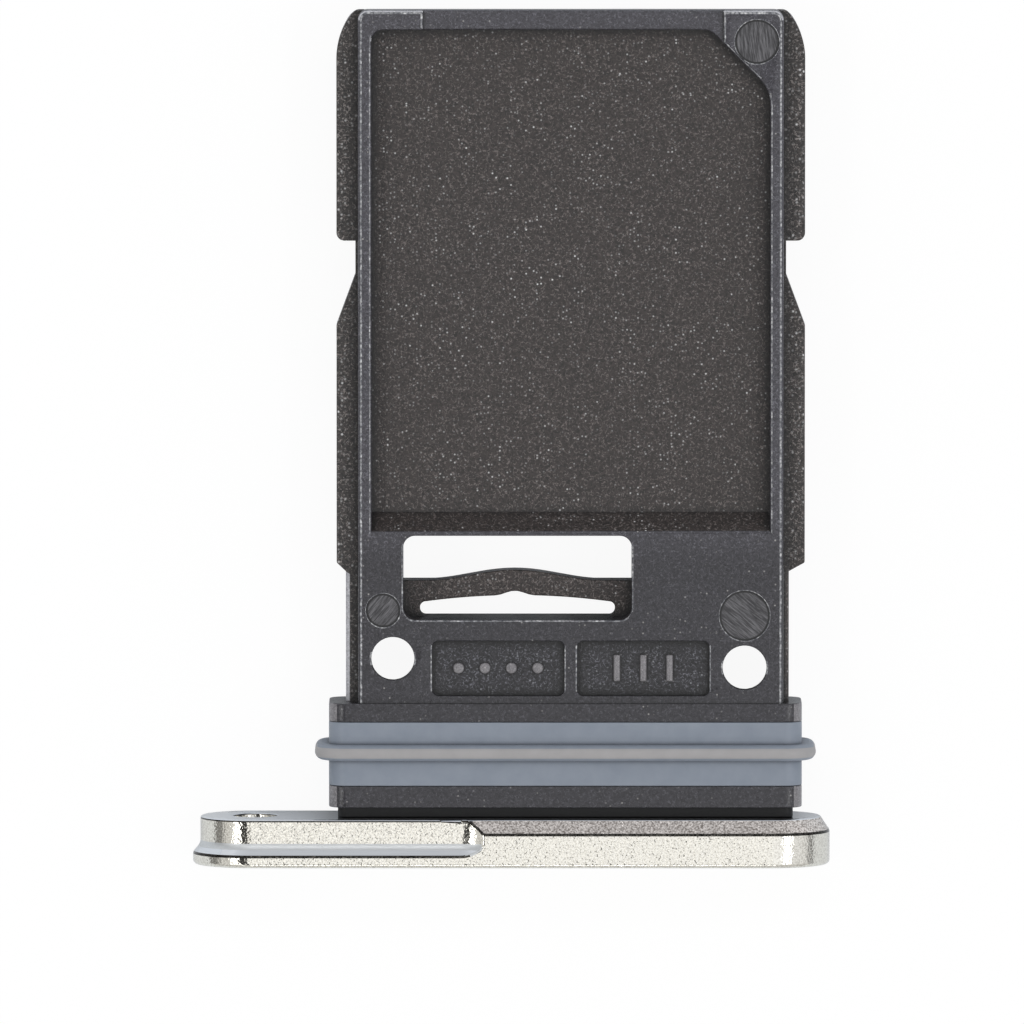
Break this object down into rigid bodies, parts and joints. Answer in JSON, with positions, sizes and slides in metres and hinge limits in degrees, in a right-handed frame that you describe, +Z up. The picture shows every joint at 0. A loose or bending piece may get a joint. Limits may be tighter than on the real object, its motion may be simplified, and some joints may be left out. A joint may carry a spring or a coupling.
{
  "type": "sim card tray",
  "caption": "Slim drawer for a nano card: metal end plate with an ejector pin hole, moulded black tray with a spring bow, and a grey seal ring round its shoulder.",
  "frame": {"origin": "middle of the footprint, level with the lowest point of the face plate", "axes": "+X along the face plate from its pin hole end to its plain end, +Y from the face plate to the insertion end, +Z up through the card, towards the face with the window's land"},
  "size_m": [0.0144, 0.0196, 0.0027],
  "materials": {
    "face_plate": "fine bead blasted and anodised, warm silver",
    "tray_body": "moulded polycarbonate, fine spark-eroded grain on the sunk faces and satin rims",
    "seal_ring": "moulded silicone, smooth and slightly dusty"
  },
  "bodies": {
    "root": {"face_plate": "face_plate", "tray_body": "tray_body", "seal_ring": "seal_ring"}
  },
  "joints": []
}
